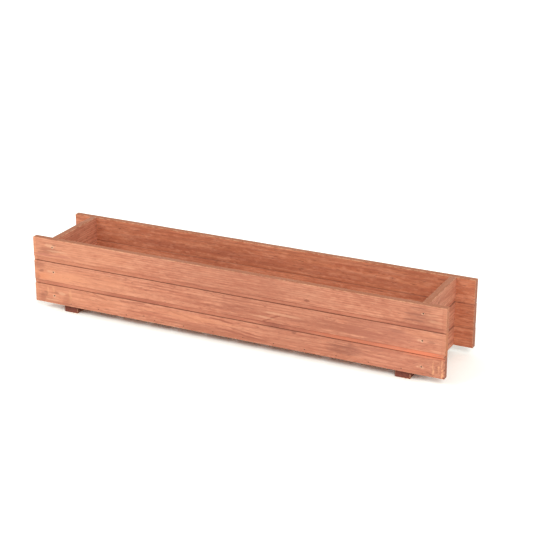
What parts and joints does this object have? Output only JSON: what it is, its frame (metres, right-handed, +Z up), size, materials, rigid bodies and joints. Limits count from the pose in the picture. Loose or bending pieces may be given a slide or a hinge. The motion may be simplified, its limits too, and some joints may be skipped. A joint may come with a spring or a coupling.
{
  "type": "planter box",
  "caption": "Long low wooden planter box of stained tongue-and-groove boards, with a slatted floor that drains and stands on cross feet.",
  "frame": {"origin": "on the floor under the middle of the box, at the bottom centre of its bounding box", "axes": "+X along the box to the right as seen from the front, -Y towards the front wall, +Z up"},
  "size_m": [1.016, 0.196, 0.179],
  "materials": {
    "wall_wood": "red-brown stain on softwood, satin, worn pale on the arrises",
    "floor_wood": "thin red-brown stain on rough-sawn softwood, matte",
    "foot_wood": "dark red-brown stain, soaked into the end grain, matte",
    "nail_steel": "dull zinc plate, dirty, heads punched below the wood"
  },
  "bodies": {
    "root": {"front_board_bottom": "wall_wood", "front_board_middle": "wall_wood", "front_board_top": "wall_wood", "rear_board_bottom": "wall_wood", "rear_board_middle": "wall_wood", "rear_board_top": "wall_wood", "left_end_board_bottom": "wall_wood", "left_end_board_middle": "wall_wood", "left_end_board_top": "wall_wood", "right_end_board_bottom": "wall_wood", "right_end_board_middle": "wall_wood", "right_end_board_top": "wall_wood", "floor_slat_1": "floor_wood", "floor_slat_2": "floor_wood", "floor_slat_3": "floor_wood", "floor_slat_4": "floor_wood", "floor_slat_5": "floor_wood", "floor_slat_6": "floor_wood", "floor_slat_7": "floor_wood", "floor_slat_8": "floor_wood", "floor_slat_9": "floor_wood", "floor_slat_10": "floor_wood", "left_foot_slat": "floor_wood", "right_foot_slat": "floor_wood", "left_foot": "foot_wood", "right_foot": "foot_wood", "front_wall_nails": "nail_steel", "rear_wall_nails": "nail_steel", "front_floor_pins": "nail_steel", "rear_floor_pins": "nail_steel", "foot_nails": "nail_steel"}
  },
  "joints": []
}
